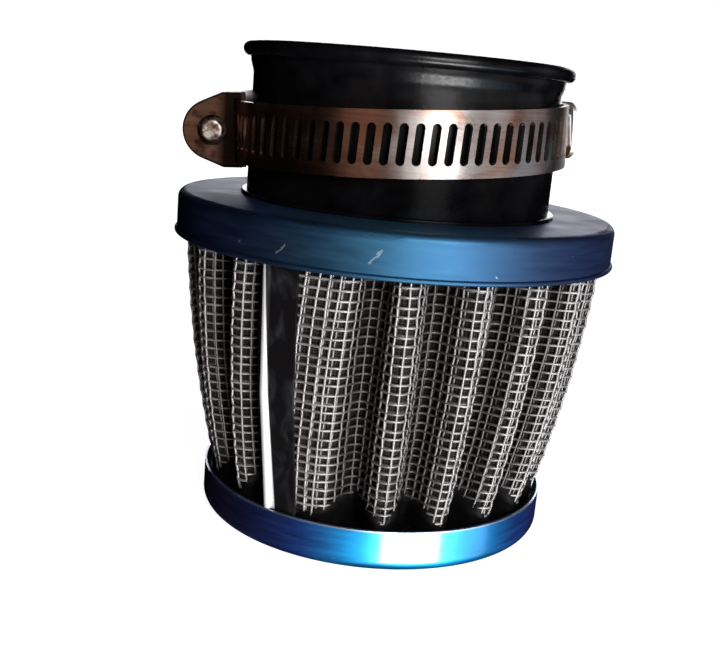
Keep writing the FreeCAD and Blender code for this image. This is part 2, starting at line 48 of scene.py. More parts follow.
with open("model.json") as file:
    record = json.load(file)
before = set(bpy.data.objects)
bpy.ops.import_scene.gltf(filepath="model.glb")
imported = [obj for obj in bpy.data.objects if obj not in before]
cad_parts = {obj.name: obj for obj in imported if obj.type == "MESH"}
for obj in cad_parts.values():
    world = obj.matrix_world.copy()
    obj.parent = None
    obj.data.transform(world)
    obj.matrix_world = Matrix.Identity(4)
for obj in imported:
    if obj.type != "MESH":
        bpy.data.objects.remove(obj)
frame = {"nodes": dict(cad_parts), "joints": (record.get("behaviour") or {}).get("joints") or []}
cad_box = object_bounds()

MM = 0.001
NODES = frame["nodes"]

# --- Sizes shared with the CAD pleats ------------------------------------------------------
PLEATS = 19
FIRST_CREST_ANGLE = -103.5
SEAM_FLAT_ANGLE = 12.0
SEAM_LEAN = 3.8             # degrees that the pleats beside the seam stray each way, foot and head
CREST_R_BOTTOM = 23.2
CREST_R_TOP = 28.8
CREST_BULGE = 1.0
CREST_WIDTH = 2.9
VALLEY_WIDTH_BOTTOM = 1.1
VALLEY_WIDTH_TOP = 2.2
PLEAT_DEPTH_BOTTOM = 4.6
PLEAT_DEPTH_TOP = 3.8
CLOTH = 0.4                 # thickness of one layer of wire cloth
GAUZE = 0.4

# --- Woven wire ----------------------------------------------------------------------------
WIRE_R = 0.17
WARP_PITCH = 1.38           # warp wires run upwards
WEFT_PITCH = 1.17           # and weft wires run round the filter
INNER_PITCH = 1.9
BACKING_INSET = 0.46        # middle of the backing wires: they lie half sunk in the gauze
SWAY = 0.4                  # how far a wire bends over and under, in wire radii
STEPS_PER_WIRE = 2          # points that a wire has for each wire that it crosses
WARP_JITTER = 0.14          # unevenness of the wires' places, as a share of their pitch
WEFT_JITTER = 0.1
WARP_WANDER = 0.035         # size of the warp wires' wandering sideways
WEFT_WANDER = 0.0012        # and of the weft wires' up and down, as a share of the pack's height
WARP_WANDER_STEPS = 13      # points over which the wandering is smooth
WEFT_WANDER_STEPS = 15
SHEET_LEVELS = 7            # heights at which the rounded folds are worked out

# --- Gauze behind the wires ----------------------------------------------------------------
GAUZE_INSET = 0.5           # its face, which swells outwards between the wires
GAUZE_STEPS = 700
GAUZE_ROWS = 25

# --- Black skin that rises up the valleys from the lower cap -------------------------------
VALLEY_SKIN_OFFSET = 0.12            # how far it stands off the cloth
VALLEY_SKIN_TUCK = 2.5             # how far its upper edge tucks back into the cloth, in skins
VALLEY_SKIN_RISE = 4.6            # how far it rises in the deepest valleys
VALLEY_SKIN_LIFT = 0.1             # and on the crests
VALLEY_SKIN_SPREAD = 0.45          # below 1 the rise is broad, with only the crests left clear
VALLEY_SKIN_WANDER = 0.12          # unevenness of its upper edge
VALLEY_SKIN_WANDER_STEPS = 21
VALLEY_SKIN_STEPS = 760
VALLEY_SKIN_ROWS = 7

# --- Wear, dirt, tints, and painted light and shade ----------------------------------------
SHADE_START = 0.5           # the wires and the gauze get no painted shade down to this depth in a valley
SHADE_END = 2.6             # and full painted shade from this depth on
CLIP_ANGLE = -117.0         # middle of the seam clip
CLIP_FOLD_EDGE = -1.25      # where its fold, painted near white as a highlight, meets its plate, painted near black as shade, from its middle line
HOUSING_UNSHADED_X = -25.2     # the housing is only a little darkened up to here
HOUSING_SHADE_X = -23.6     # and painted near black as shade from here on, where it meets the band
HOUSING_WARM_REFLECTION_X = -20.0    # the housing's bronze tint, a painted warm reflection, starts to thin out here
HOUSING_PLAIN_X = -10.0      # and would be gone here
BAND_START_UNSHADED_X = -15.0  # the band's fixed start has no painted shade from here on
BAND_START_SHADE_X = -19.0  # and is painted near black as shade up to here, under the housing
BAND_WARM_REFLECTION_X = -12.0       # the band's bronze tint, a painted warm reflection, starts to thin out here
BAND_PLAIN_X = 6.0           # and is gone here, but for a few patches
TAIL_BRIGHT_X = 17.0        # the band is polished up to here
TAIL_DULL_X = 21.5          # and dull, with its tail, from here on
NECK_SHADED_Z = 52.0          # the neck's reflection is turned down as painted shade up to here, under the clamp
NECK_UNSHADED_Z = 56.0         # and full from here on
SCREW_BRIGHT_R = 1.35       # the screw's tip has no painted shade up to here
SCREW_SHADE_R = 1.65        # and is painted near black as shade from here on
UPPER_CAP_LIT_ANGLE = -88.0      # each cap's blue is painted lighter towards its angle, the lit front: painted light
LOWER_CAP_LIT_ANGLE = -72.0
RIM_HIGHLIGHT = 0.25             # depth of the painted highlight along the lower cap's rim
CAP_SKIN = 0.3              # the lower cap is black further in than this from its outer wall,
CAP_BLACK_FROM = 0.4        # above this share of its height, where its inside shows
SCRATCHES = [               # on the upper cap: angle from the front, height, length, lean, strength
    (-25.2, 40.6, 1.9, 44, 0.95),
    (-3.4, 41.0, 2.2, 48, 0.4),
    (-2.6, 41.7, 1.1, 52, 0.4),
    (-37.0, 40.6, 0.5, 60, 0.7),
    (24.0, 39.6, 0.5, -50, 0.7),
]
SCRATCH_RAG = 0.12          # how far a scratch wanders to each side
SCRATCH_CORE = 0.03         # half width of its full strength
SCRATCH_EDGE = 0.15         # half width at which it has faded out
SCRATCH_TAPER = 0.2         # length over which its ends fade

cloth_low, cloth_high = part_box("outer_wire_cloth")
PACK_BOTTOM = cloth_low.z / MM
PACK_TOP = cloth_high.z / MM
LOWER_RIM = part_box("lower_cap")[1].z / MM
LOWER_CAP_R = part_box("lower_cap")[1].x / MM
UPPER_CAP_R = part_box("upper_cap")[1].x / MM


def between(low, high, share):
    return low + (high - low) * share


def polar(radius, angle):
    a = math.radians(angle)
    return (radius * math.cos(a), radius * math.sin(a))


def crest_radius(share):
    return between(CREST_R_BOTTOM, CREST_R_TOP, share) + CREST_BULGE * 4 * share * (1 - share)


def fold_corners(share):
    """Corners of the folded sheet's outer face at a share of its height, as the CAD has them."""
    crest_r = crest_radius(share)
    valley_r = crest_r - between(PLEAT_DEPTH_BOTTOM, PLEAT_DEPTH_TOP, share)
    half_crest = math.degrees(CREST_WIDTH / 2 / crest_r)
    half_valley = math.degrees(between(VALLEY_WIDTH_BOTTOM, VALLEY_WIDTH_TOP, share) / 2 / valley_r)
    pitch = (360 - SEAM_FLAT_ANGLE) / PLEATS
    crests = [FIRST_CREST_ANGLE + pleat * pitch for pleat in range(PLEATS)]
    for beside_seam in (-2, -1, 0):
        crests[beside_seam] += SEAM_LEAN * (2 * share - 1)
    next_crests = crests[1:] + [crests[0] - SEAM_FLAT_ANGLE + 360]
    points = []
    for pleat, (crest, next_crest) in enumerate(zip(crests, next_crests)):
        if pleat == 0:
            points.append(polar(crest_r, crest - half_crest - SEAM_FLAT_ANGLE))
            points.append(polar(crest_r, crest - half_crest - SEAM_FLAT_ANGLE / 2))
        else:
            points.append(polar(crest_r, crest - half_crest))
        points.append(polar(crest_r, crest + half_crest))
        valley = (crest + next_crest) / 2
        points.append(polar(valley_r, valley - half_valley))
        points.append(polar(valley_r, valley + half_valley))
    return np.array(points)


def normals_of(points):
    """Outward normals of a closed outline that runs anticlockwise."""
    along = np.roll(points, -1, axis=0) - np.roll(points, 1, axis=0)
    normal = np.stack([along[:, 1], -along[:, 0]], axis=1)
    return normal / np.linalg.norm(normal, axis=1, keepdims=True)


def round_folds(points, rounds=3):
    """Chaikin's corner cutting on a closed outline."""
    for _ in range(rounds):
        following = np.roll(points, -1, axis=0)
        cut = np.stack([0.75 * points + 0.25 * following, 0.25 * points + 0.75 * following], axis=1)
        points = cut.reshape(-1, 2)
    return points


class Sheet:
    """The folded sheet at a depth in the pack. A place on it is (along, share of height)."""

    def __init__(self, inset):
        outlines = [round_folds(fold_corners(share)) for share in np.linspace(0, 1, SHEET_LEVELS)]
        self.normals = np.array([normals_of(outline) for outline in outlines])
        self.points = np.array(outlines) - self.normals * inset
        middle = self.points[SHEET_LEVELS // 2]
        steps = np.linalg.norm(np.roll(middle, -1, axis=0) - middle, axis=1)
        self.reach = np.concatenate([[0], np.cumsum(steps)])
        self.length = self.reach[-1]

    def sample(self, tables, along, share):
        """Value at a distance along the sheet and a share of its height, from closed tables."""
        level = share * (SHEET_LEVELS - 1)
        low = np.clip(np.floor(level).astype(int), 0, SHEET_LEVELS - 2)
        rise = (level - low)[..., None]
        position = np.interp(np.mod(along, self.length), self.reach, np.arange(len(self.reach)))
        index = np.floor(position).astype(int)
        part = (position - index)[..., None]
        count = tables.shape[1]
        here, there = index % count, (index + 1) % count

        def on_level(row):
            return tables[row, here] * (1 - part) + tables[row, there] * part
        return on_level(low) * (1 - rise) + on_level(low + 1) * rise

    def place(self, along, share, lift):
        """Points in millimetres, lifted off the sheet along its normal, and the normals there."""
        along, share, lift = np.broadcast_arrays(along, share, lift)
        flat = self.sample(self.points, along, share)
        normal = self.sample(self.normals, along, share)
        normal /= np.linalg.norm(normal, axis=-1, keepdims=True)
        flat = flat + normal * lift[..., None]
        height = between(PACK_BOTTOM, PACK_TOP, share)
        points = np.concatenate([flat, height[..., None]], axis=-1)
        normal3 = np.concatenate([normal, np.zeros_like(height)[..., None]], axis=-1)
        return points, normal3


def tube_mesh(name, paths, normals, radius, sides, closed):
    """One mesh of round wires. paths and normals are arrays of wires by points by 3."""
    wires, count, _ = paths.shape
    if closed:
        along = np.roll(paths, -1, axis=1) - np.roll(paths, 1, axis=1)
    else:
        along = np.gradient(paths, axis=1)
    along /= np.linalg.norm(along, axis=2, keepdims=True)
    side = np.cross(along, normals)
    side /= np.linalg.norm(side, axis=2, keepdims=True)
    up = np.cross(side, along)
    turns = np.arange(sides) * 2 * math.pi / sides
    ring = (np.cos(turns)[:, None] * up[:, :, None, :] + np.sin(turns)[:, None] * side[:, :, None, :])
    points = paths[:, :, None, :] + radius * ring
    index = np.arange(wires * count * sides).reshape(wires, count, sides)
    if closed:
        here, there = index, np.roll(index, -1, axis=1)
    else:
        here, there = index[:, :-1], index[:, 1:]
    quads = np.stack([here, there, np.roll(there, -1, axis=2), np.roll(here, -1, axis=2)], axis=-1)
    faces = quads.reshape(-1, 4).tolist()
    if not closed:
        faces += index[:, 0].tolist()
        faces += index[:, -1][:, ::-1].tolist()
    mesh = bpy.data.meshes.new(name)
    mesh.from_pydata((points.reshape(-1, 3) * MM).tolist(), [], faces)
    mesh.shade_smooth()
    return mesh


def add_piece(name, mesh, material, body, replaced=()):
    piece = bpy.data.objects.new(name, mesh)
    bpy.context.scene.collection.objects.link(piece)
    mesh.materials.append(material)
    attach(piece, body)
    if replaced:
        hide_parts(*replaced)


def wandering(rng, shape, size, stretch):
    """Smooth random offsets, of about a given size, along the last axis."""
    rough = rng.normal(size=shape)
    window = np.hanning(stretch + 2)[1:-1]
    window /= np.sqrt((window ** 2).sum())
    smooth = np.apply_along_axis(lambda row: np.convolve(row, window, mode="same"), -1, rough)
    return smooth * size


def weave(name, inset, pitches, sides, seed, material, replaced):
    """Plain-woven wire cloth: upright warp wires and level weft wires that go over and under."""
    sheet = Sheet(inset)
    warp_pitch, weft_pitch = pitches
    warps = 2 * round(sheet.length / warp_pitch / 2)
    wefts = 2 * round((PACK_TOP - PACK_BOTTOM) / weft_pitch / 2)
    rng = np.random.default_rng(seed)
    warp_at = (np.arange(warps) + rng.uniform(-WARP_JITTER, WARP_JITTER, warps)) * sheet.length / warps
    weft_at = (np.arange(wefts) + 0.5 + rng.uniform(-WEFT_JITTER, WEFT_JITTER, wefts)) / wefts

    levels = np.linspace(0, 1, wefts * STEPS_PER_WIRE + 1)
    weft_share = np.interp(levels, (np.arange(wefts) + 0.5) / wefts, weft_at)
    weft_share[0], weft_share[-1] = 0, 1
    over = np.sin(math.pi * levels * wefts)
    sign = np.where(np.arange(warps) % 2, 1, -1)
    drift = wandering(rng, (warps, len(levels)), WARP_WANDER, WARP_WANDER_STEPS)
    lift = SWAY * WIRE_R * sign[:, None] * over
    points, normals = sheet.place(warp_at[:, None] + drift, weft_share[None, :], lift)
    warp = tube_mesh(name + "_warp", points, normals, WIRE_R, sides, closed=False)

    spots = np.arange(warps * STEPS_PER_WIRE) / STEPS_PER_WIRE
    along = np.interp(spots, np.arange(warps + 1), np.append(warp_at, warp_at[0] + sheet.length))
    over = np.cos(math.pi * spots)
    sign = np.where(np.arange(wefts) % 2, 1, -1)
    sag = wandering(rng, (wefts, len(spots)), WEFT_WANDER, WEFT_WANDER_STEPS)
    lift = SWAY * WIRE_R * sign[:, None] * over
    points, normals = sheet.place(along[None, :], weft_at[:, None] + sag, lift)
    weft = tube_mesh(name + "_weft", points, normals, WIRE_R, sides, closed=True)

    add_piece(name + "_warp", warp, material, "filter", replaced)
    add_piece(name + "_weft", weft, material, "filter")


def surface_mesh(name, points):
    """Smooth open skin over rows of points that close round the filter."""
    rows, count, _ = points.shape
    index = np.arange(rows * count).reshape(rows, count)
    low, high = index[:-1], index[1:]
    quads = np.stack([low, np.roll(low, -1, axis=1), np.roll(high, -1, axis=1), high], axis=-1)
    mesh = bpy.data.meshes.new(name)
    mesh.from_pydata((points.reshape(-1, 3) * MM).tolist(), [], quads.reshape(-1, 4).tolist())
    mesh.shade_smooth()
    return mesh


def swollen_gauze():
    """Black gauze that presses outwards against the wires."""
    sheet = Sheet(GAUZE_INSET)
    along = np.linspace(0, sheet.length, GAUZE_STEPS, endpoint=False)
    share = np.linspace(0, 1, GAUZE_ROWS)
    points, _ = sheet.place(along[None, :], share[:, None], 0)
    mesh = surface_mesh("gauze_sheet", points)
    add_piece("gauze_sheet", mesh, gauze_cloth(), "filter", ["gauze"])


def black_valley_skin():
    """Black skin, in the potting's material, that rises from the lower cap up the pleats' valleys."""
    sheet = Sheet(-VALLEY_SKIN_OFFSET)
    rng = np.random.default_rng(5)
    spots = np.linspace(0, sheet.length, VALLEY_SKIN_STEPS, endpoint=False)
    flat, _ = sheet.place(spots, np.zeros_like(spots), np.zeros_like(spots))
    radius = np.linalg.norm(flat[:, :2], axis=1)
    depth = (radius.max() - radius) / (radius.max() - radius.min())
    uneven = 1 + wandering(rng, spots.shape, VALLEY_SKIN_WANDER, VALLEY_SKIN_WANDER_STEPS)
    skin_rise = VALLEY_SKIN_RISE * depth ** VALLEY_SKIN_SPREAD * uneven
    heights = LOWER_RIM - PACK_BOTTOM + VALLEY_SKIN_LIFT + np.maximum(skin_rise, 0)
    rows = np.linspace(0, 1, VALLEY_SKIN_ROWS)
    share = heights[None, :] * rows[:, None] / (PACK_TOP - PACK_BOTTOM)
    tuck = VALLEY_SKIN_TUCK * VALLEY_SKIN_OFFSET * rows[:, None] ** 4
    points, _ = sheet.place(spots[None, :], share, -tuck)
    add_piece("black_valley_skin", surface_mesh("black_valley_skin", points), potting(), "filter")


# --- Materials -----------------------------------------------------------------------------

class Shader:
    """A material's node tree with one Principled node, and short ways to add to it."""

    def __init__(self, name, metallic=0.0):
        self.material = bpy.data.materials.new(name)
        self.material.use_nodes = True
        self.tree = self.material.node_tree
        self.bsdf = self.tree.nodes["Principled BSDF"]
        self.set("Metallic", metallic)

    def set(self, socket, value):
        """Give one of the Principled node's sockets a constant value."""
        self.bsdf.inputs[socket].default_value = value

    def connect(self, socket, source):
        """Feed one of the Principled node's sockets from another node's output."""
        self.link(source, self.bsdf.inputs[socket])

    def color_so_far(self):
        return self.bsdf.inputs["Base Color"].links[0].from_socket

    def node(self, kind, **inputs):
        made = self.tree.nodes.new(kind)
        for key, value in inputs.items():
            made.inputs[key.replace("_", " ")].default_value = value
        return made

    def link(self, source, target):
        self.tree.links.new(source, target)

    def coords(self, scale):
        """Object coordinates in millimetres times a scale for each axis."""
        place = self.node("ShaderNodeTexCoord")
        mapping = self.node("ShaderNodeMapping")
        mapping.inputs["Scale"].default_value = [s / MM for s in scale]
        self.link(place.outputs["Object"], mapping.inputs["Vector"])
        return mapping.outputs["Vector"]

    def place(self):
        """X, Y and Z in millimetres."""
        made = self.node("ShaderNodeSeparateXYZ")
        self.link(self.coords((1, 1, 1)), made.inputs["Vector"])
        return made.outputs

    def off_axis(self):
        """Distance from the Z axis in millimetres."""
        x, y, _ = self.place()
        square = self.math("ADD", self.math("MULTIPLY", x, x), self.math("MULTIPLY", y, y))
        return self.math("SQRT", square)

    def noise(self, vector, scale, detail=4.0, distortion=0.0):
        made = self.node("ShaderNodeTexNoise", Scale=scale, Detail=detail, Distortion=distortion)
        self.link(vector, made.inputs["Vector"])
        return made.outputs["Fac"]

    def ramp(self, source, stops):
        made = self.node("ShaderNodeValToRGB")
        made.color_ramp.elements[0].position = stops[0][0]
        made.color_ramp.elements[0].color = stops[0][1]
        made.color_ramp.elements[1].position = stops[-1][0]
        made.color_ramp.elements[1].color = stops[-1][1]
        for position, color in stops[1:-1]:
            element = made.color_ramp.elements.new(position)
            element.color = color
        self.link(source, made.inputs["Fac"])
        return made.outputs["Color"]

    def rescale(self, source, low, high, to_low, to_high):
        made = self.node("ShaderNodeMapRange")
        made.inputs["From Min"].default_value = low
        made.inputs["From Max"].default_value = high
        made.inputs["To Min"].default_value = to_low
        made.inputs["To Max"].default_value = to_high
        self.link(source, made.inputs["Value"])
        return made.outputs["Result"]

    def feed(self, sockets, values):
        """Link each value to its socket where it comes from a node, and set it where it is constant."""
        for socket, value in zip(sockets, values):
            if isinstance(value, bpy.types.NodeSocket):
                self.link(value, socket)
            else:
                socket.default_value = value

    def math(self, operation, first, second=0.0):
        made = self.tree.nodes.new("ShaderNodeMath")
        made.operation = operation
        self.feed(made.inputs, (first, second))
        return made.outputs["Value"]

    def mix(self, share, first, second):
        """The first color where the share is 0, and the second where it is 1."""
        made = self.tree.nodes.new("ShaderNodeMix")
        made.data_type = "RGBA"
        color_inputs = [socket for socket in made.inputs if socket.type == "RGBA"]
        color_output = [socket for socket in made.outputs if socket.type == "RGBA"][0]
        self.feed([made.inputs[0], *color_inputs], (share, first, second))
        return color_output

    def bump(self, height, strength, depth):
        made = self.node("ShaderNodeBump", Strength=strength, Distance=depth * MM)
        self.link(height, made.inputs["Height"])
        self.connect("Normal", made.outputs["Normal"])


def valley_shade(s, deepest):
    """1 on the pleats' crests, falling to a given value in their valleys."""
    z = s.place()["Z"]
    share = s.rescale(z, PACK_BOTTOM, PACK_TOP, 0, 1)
    cone = s.rescale(z, PACK_BOTTOM, PACK_TOP, CREST_R_BOTTOM, CREST_R_TOP)
    swell = s.math("MULTIPLY", s.math("MULTIPLY", share, s.math("SUBTRACT", 1.0, share)), 4 * CREST_BULGE)
    depth = s.math("SUBTRACT", s.math("ADD", cone, swell), s.off_axis())
    return s.rescale(depth, SHADE_START, SHADE_END, 1, deepest)


def grey(value):
    return (value, value, value, 1)


def front_share(s, angle):
    """1 where the filter faces an angle about Z, 0 a quarter turn away, and less behind."""
    a = math.radians(angle)
    x, y, _ = s.place()
    along = s.math("ADD", s.math("MULTIPLY", x, math.cos(a)), s.math("MULTIPLY", y, math.sin(a)))
    return s.math("DIVIDE", along, s.off_axis())


def scratch(s, angle, height, length, lean):
    """1 along a thin ragged scratch at an angle from the front and a height, leaning right."""
    x, y, z = s.place()
    turn = s.math("ARCTAN2", x, s.math("MULTIPLY", y, -1.0))
    across = s.math("MULTIPLY", s.math("SUBTRACT", turn, math.radians(angle)), UPPER_CAP_R)
    up = s.math("SUBTRACT", z, height)
    rise, run = math.cos(math.radians(lean)), math.sin(math.radians(lean))
    off = s.math("SUBTRACT", s.math("MULTIPLY", across, rise), s.math("MULTIPLY", up, run))
    along = s.math("ADD", s.math("MULTIPLY", across, run), s.math("MULTIPLY", up, rise))
    ragged = s.rescale(s.noise(s.coords((1, 1, 1)), 1.6, 3), 0.3, 0.7, -SCRATCH_RAG, SCRATCH_RAG)
    off = s.math("ABSOLUTE", s.math("ADD", off, ragged))
    thin = s.rescale(off, SCRATCH_CORE, SCRATCH_EDGE, 1, 0)
    short = s.rescale(s.math("ABSOLUTE", along), length / 2 - SCRATCH_TAPER, length / 2, 1, 0)
    return s.math("MULTIPLY", thin, short)


def blue_plate(name, lit_angle, tints, roughness, scratches):
    """Blue-tinted plated steel with painted light: its tint is lighter towards the lit side of the cap.
    With dull patches and scratches.
    """
    s = Shader(name, metallic=1.0)
    # painted light: the tint ramp runs from the shaded sides to the lit front
    painted_light_tint = s.ramp(front_share(s, lit_angle), tints)
    patch = s.noise(s.coords((0.4, 0.4, 1.2)), 0.2, 4, 0.4)
    darker = s.mix(s.rescale(patch, 0.38, 0.68, 0, 0.35), painted_light_tint, (0.03, 0.08, 0.22, 1))
    fine = s.noise(s.coords((0.35, 0.35, 2.4)), 1.1, 4, 1.2)
    wear_and_rim_highlight = s.rescale(fine, 0.73, 0.79, 0, 0.5)
    for *place, strength in scratches:
        wear_and_rim_highlight = s.math("MAXIMUM", wear_and_rim_highlight, s.math("MULTIPLY", scratch(s, *place), strength))
    s.connect("Base Color", s.mix(wear_and_rim_highlight, darker, (0.60, 0.68, 0.74, 1)))
    brushed = s.noise(s.coords((0.3, 0.3, 3)), 0.6, 5)
    s.connect("Roughness", s.rescale(brushed, 0.3, 0.72, roughness * 0.9, roughness * 1.15))
    s.bump(s.noise(s.coords((1, 1, 1)), 0.35, 3), 0.05, 0.3)
    return s


def upper_cap_blue():
    """Dull plating with a few scratches in front."""
    # tints from the shaded back to the lit front, as painted light
    tints = [(0.40, (0.042, 0.050, 0.125, 1)), (0.60, (0.042, 0.058, 0.17, 1)),
             (0.85, (0.045, 0.085, 0.18, 1)), (0.95, (0.040, 0.112, 0.21, 1)),
             (1.0, (0.042, 0.145, 0.25, 1))]
    return blue_plate("upper_cap_blue", UPPER_CAP_LIT_ANGLE, tints, 0.52, SCRATCHES).material


def lower_cap_blue():
    """Glossier plating with a painted highlight along the front of the rim, and a black inside."""
    # tints from the shaded back to the lit front, as painted light
    tints = [(0.35, (0.20, 0.14, 0.44, 1)), (0.62, (0.10, 0.14, 0.62, 1)),
             (0.80, (0.06, 0.21, 0.85, 1)), (0.93, (0.02, 0.46, 1.0, 1))]
    s = blue_plate("lower_cap_blue", LOWER_CAP_LIT_ANGLE, tints, 0.45, [])
    # painted highlight: a pale band along the top of the rim, in front only, where light catches the edge
    rim_band = s.rescale(s.place()["Z"], LOWER_RIM - RIM_HIGHLIGHT, LOWER_RIM - RIM_HIGHLIGHT / 2, 0, 0.8)
    lit_front = s.rescale(front_share(s, LOWER_CAP_LIT_ANGLE), 0.1, 0.6, 0.05, 1)
    wear_and_rim_highlight = s.math("MULTIPLY", rim_band, lit_front)
    plate = s.mix(wear_and_rim_highlight, s.color_so_far(), (0.55, 0.68, 0.85, 1))
    outer_wall = s.rescale(s.off_axis(), LOWER_CAP_R - CAP_SKIN, LOWER_CAP_R - CAP_SKIN + 0.1, 0, 1)
    black_from = LOWER_RIM * CAP_BLACK_FROM
    underside = s.rescale(s.place()["Z"], black_from, black_from + LOWER_RIM * 0.1, 1, 0)
    outside = s.math("MAXIMUM", outer_wall, underside)
    s.connect("Base Color", s.mix(outside, (0.010, 0.012, 0.022, 1), plate))
    s.connect("Metallic", outside)
    s.set("Specular IOR Level", 0.0)
    s.connect("Coat Weight", outside)
    s.set("Coat IOR", 1.9)
    s.set("Coat Roughness", 0.17)
    return s.material


def rubber():
    """Black rubber whose reflection is turned down below the clamp, as painted shade."""
    s = Shader("neck_rubber")
    # painted shade: weaker reflection on the neck below the clamp
    s.connect("Specular IOR Level", s.rescale(s.place()["Z"], NECK_SHADED_Z, NECK_UNSHADED_Z, 0.06, 0.25))
    dust = s.noise(s.coords((1, 1, 1)), 0.25, 8, 0.3)
    black = s.ramp(dust, [(0.35, (0.0015, 0.0015, 0.0020, 1)), (0.8, (0.006, 0.006, 0.007, 1))])
    s.connect("Base Color", black)
    s.connect("Roughness", s.rescale(dust, 0.3, 0.7, 0.20, 0.30))
    s.bump(s.noise(s.coords((1, 1, 1)), 2.2, 6), 0.15, 0.1)
    return s.material


def potting():
    """Cast black resin with a lumpy face."""
    s = Shader("potting")
    s.set("Roughness", 0.55)
    s.set("Specular IOR Level", 0.08)
    lumps = s.noise(s.coords((1, 1, 1)), 0.5, 5)
    s.connect("Base Color", s.ramp(lumps, [(0.3, grey(0.002)), (0.75, grey(0.008))]))
    s.bump(lumps, 0.5, 0.6)
    return s.material


def gauze_cloth():
    """Black open cotton weave."""
    s = Shader("gauze")
    s.set("Roughness", 1.0)
    s.set("Specular IOR Level", 0.1)
    weave_bands = []
    for direction in ("X", "Z"):
        wave = s.node("ShaderNodeTexWave", Scale=0.9, Distortion=1.2, Detail=2.0)
        wave.bands_direction = direction
        s.link(s.coords((1, 1, 1)), wave.inputs["Vector"])
        weave_bands.append(wave.outputs["Fac"])
    both = s.mix(0.5, *weave_bands)
    # painted shade: the gauze is painted darker in the pleats' valleys and lighter on the crests
    valley_shaded_gauze = s.ramp(both, [(0.2, (0.002, 0.0015, 0.0015, 1)), (0.9, (0.011, 0.008, 0.008, 1))])
    crest_gauze = s.ramp(both, [(0.2, (0.011, 0.009, 0.009, 1)), (0.9, (0.040, 0.034, 0.033, 1))])
    s.connect("Base Color", s.mix(valley_shade(s, 0), valley_shaded_gauze, crest_gauze))
    s.bump(both, 0.5, 0.2)
    return s.material


def steel_wire(name, brightness, in_valleys):
    """Dull drawn wire, with painted shade that darkens its colour and reflection in the pleats' valleys.
    """
    s = Shader(name, metallic=0.75)
    s.set("Specular Tint", grey(0.5))
    tarnish = s.noise(s.coords((1, 1, 1)), 0.35, 4)
    low = tuple(brightness * v for v in (0.60, 0.57, 0.56)) + (1,)
    high = tuple(brightness * v for v in (0.95, 0.92, 0.91)) + (1,)
    wire_tone = s.ramp(tarnish, [(0.3, low), (0.65, high)])
    shade = valley_shade(s, in_valleys)
    # painted shade: the wire colour goes dark towards the pleats' valleys, where less light falls
    s.connect("Base Color", s.mix(shade, (0.012, 0.008, 0.007, 1), wire_tone))
    s.connect("Roughness", s.rescale(tarnish, 0.3, 0.7, 0.45, 0.62))
    s.connect("Specular IOR Level", s.math("MULTIPLY", shade, 0.5))
    return s.material


def clip_metal():
    """Fold painted near white as a highlight; plate painted near black as shade, with a few grey rubs."""
    s = Shader("clip_metal", metallic=0.45)
    a = math.radians(CLIP_ANGLE)
    x, y, _ = s.place()
    side = s.math("ADD", s.math("MULTIPLY", x, -math.sin(a)), s.math("MULTIPLY", y, math.cos(a)))
    on_plate = s.rescale(side, CLIP_FOLD_EDGE - 0.05, CLIP_FOLD_EDGE + 0.1, 0, 1)
    rubs = s.noise(s.coords((1, 1, 0.5)), 0.45, 6, 0.6)
    # painted shade: the plate is near black, with grey rubs
    plate = s.ramp(rubs, [(0.5, (0.010, 0.009, 0.010, 1)), (0.62, (0.026, 0.026, 0.030, 1)),
                          (0.74, (0.065, 0.07, 0.075, 1))])
    # painted highlight: the fold is near white
    s.connect("Base Color", s.mix(on_plate, (0.95, 0.94, 0.94, 1), plate))
    s.set("Roughness", 0.5)
    s.set("Specular IOR Level", 0.05)
    return s.material


def band_steel(name, roughness, warm_reflection_x, plain_x):
    """Rolled stainless strip with a painted warm reflection, bronze towards the housing and in patches,
    and faint streaks round it.
    """
    s = Shader(name, metallic=1.0)
    streak = s.noise(s.coords((0.06, 0.06, 3.0)), 1.0, 4)
    patch_noise = s.noise(s.coords((1, 1, 1)), 0.16, 3, 0.5)
    plain_steel = s.ramp(streak, [(0.3, (0.58, 0.56, 0.55, 1)), (0.7, (0.74, 0.73, 0.73, 1))])
    # painted reflection: the bronze tint stands for warm surroundings reflected in the steel
    warm_reflection = s.ramp(streak, [(0.3, (0.46, 0.21, 0.13, 1)), (0.7, (0.60, 0.36, 0.26, 1))])
    towards_housing = s.rescale(s.place()["X"], plain_x, warm_reflection_x, 0, 1)
    reflection_patches = s.rescale(patch_noise, 0.35, 0.62, 1, 0)
    share = s.math("MINIMUM", 1.0, s.math("ADD", towards_housing, s.math("MULTIPLY", reflection_patches, 0.8)))
    s.connect("Base Color", s.mix(share, plain_steel, warm_reflection))
    dull = s.rescale(s.place()["X"], TAIL_BRIGHT_X, TAIL_DULL_X, 0, 0.5)
    polish = s.rescale(patch_noise, 0.3, 0.7, roughness * 0.85, roughness * 1.2)
    s.connect("Roughness", s.math("MAXIMUM", polish, dull))
    return s


def add_shade_and_grime(s, unshaded_x, shade_x, least, most):
    """Painted shade, near black, that thickens towards where the housing meets the band, with blotches of
    grime.
    """
    # painted shade: darkening towards the join of housing and band, where shade falls
    shade_and_grime = s.rescale(s.place()["X"], unshaded_x, shade_x, least, most)
    blotch = s.rescale(s.noise(s.coords((1, 1, 1)), 0.55, 5, 0.6), 0.42, 0.64, 0, 0.85)
    shade_and_grime = s.math("MAXIMUM", shade_and_grime, s.math("MULTIPLY", blotch, s.rescale(shade_and_grime, 0, 0.1, 0, 1)))
    s.connect("Base Color", s.mix(shade_and_grime, s.color_so_far(), (0.02, 0.012, 0.010, 1)))


def housing_steel():
    s = band_steel("housing_steel", 0.34, HOUSING_WARM_REFLECTION_X, HOUSING_PLAIN_X)
    add_shade_and_grime(s, HOUSING_UNSHADED_X, HOUSING_SHADE_X, 0.25, 0.97)
    return s.material


